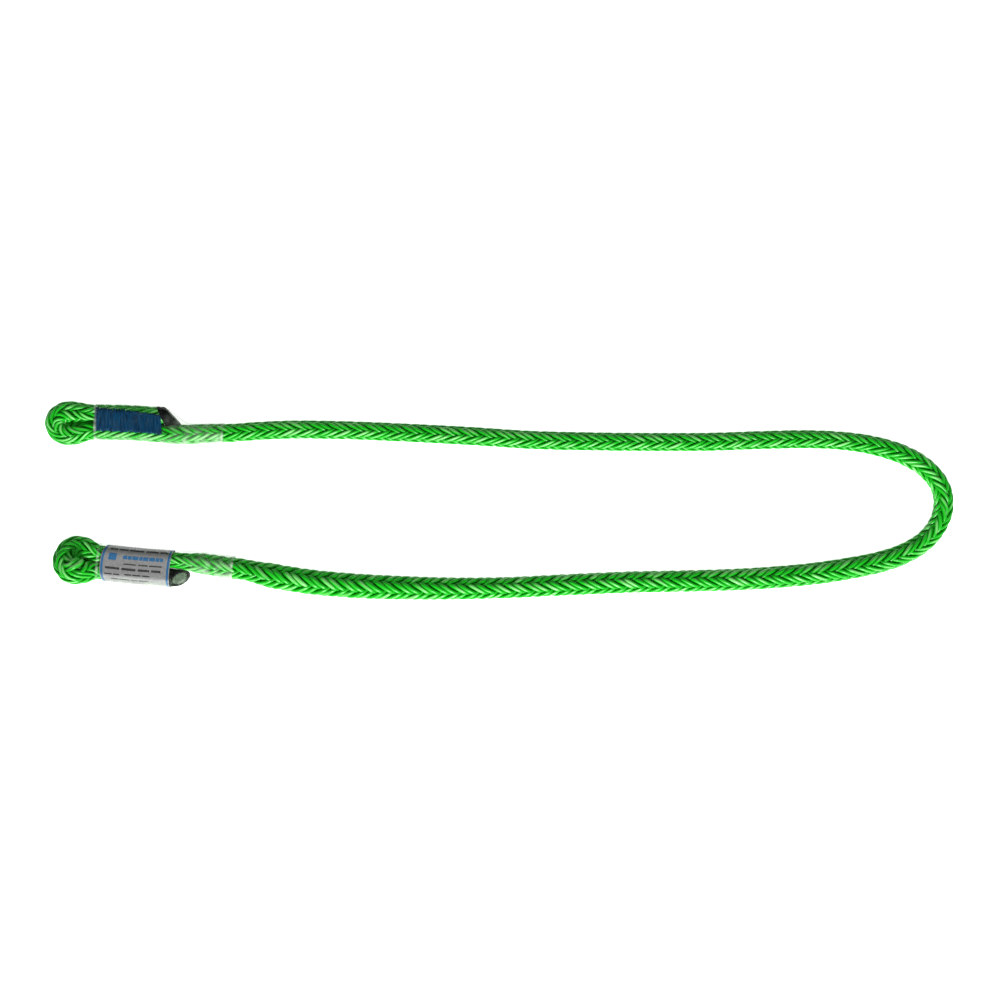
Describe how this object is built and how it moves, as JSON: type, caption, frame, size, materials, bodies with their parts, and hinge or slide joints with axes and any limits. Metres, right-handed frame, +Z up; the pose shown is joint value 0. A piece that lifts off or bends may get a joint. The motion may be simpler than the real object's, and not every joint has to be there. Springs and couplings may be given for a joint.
{
  "type": "eye-and-eye friction hitch cord",
  "caption": "Braided hitch cord laid in a U, each end turned back into a sewn eye under a clear shrink sleeve, for wrapping round a rope and clipping by its eyes.",
  "frame": {"origin": "on the bench, under the middle of the cord's footprint", "axes": "+X from the eyes towards the bend, +Y from end B (labelled) towards end A, +Z up from the bench"},
  "size_m": [0.4713, 0.1035, 0.0172],
  "materials": {
    "braid": "bright green braided rope yarn with a slight sheen",
    "thread": "navy blue bonded sewing thread, slightly glossy",
    "tape": "black vinyl tape",
    "clear_film": "clear glossy heat-shrink film",
    "label_film": "silver-grey printed film with blue edges"
  },
  "bodies": {
    "bend": {"bend_rope": "braid"},
    "leg_a": {"leg_a_rope": "braid"},
    "end_a": {"eye_a_rope": "braid", "needle_thread_a": "thread", "bobbin_thread_a": "thread", "tail_tape_a": "tape", "shrink_sleeve_a": "clear_film"},
    "leg_b": {"leg_b_rope": "braid"},
    "end_b": {"eye_b_rope": "braid", "needle_thread_b": "thread", "bobbin_thread_b": "thread", "tail_tape_b": "tape", "shrink_sleeve_b": "clear_film", "film_label_b": "label_film"}
  },
  "joints": [
    {"name": "bend_opens_a", "type": "hinge", "parent": "bend", "child": "leg_a", "pos_m": [0.2105, 0.0228, 0.0051], "axis": [0, 0, -1], "range_deg": [-2.5, 85]},
    {"name": "bend_opens_b", "type": "hinge", "parent": "bend", "child": "leg_b", "pos_m": [0.2105, -0.028, 0.0051], "axis": [0, 0, 1], "range_deg": [-2.5, 85]},
    {"name": "neck_a_lifts", "type": "hinge", "parent": "leg_a", "child": "end_a", "pos_m": [-0.137, 0.0345, 0.0056], "axis": [0.014, 0.9999, 0], "range_deg": [0, 80]},
    {"name": "neck_b_lifts", "type": "hinge", "parent": "leg_b", "child": "end_b", "pos_m": [-0.132, -0.0363, 0.0062], "axis": [0.1097, 0.994, 0], "range_deg": [0, 80]}
  ]
}
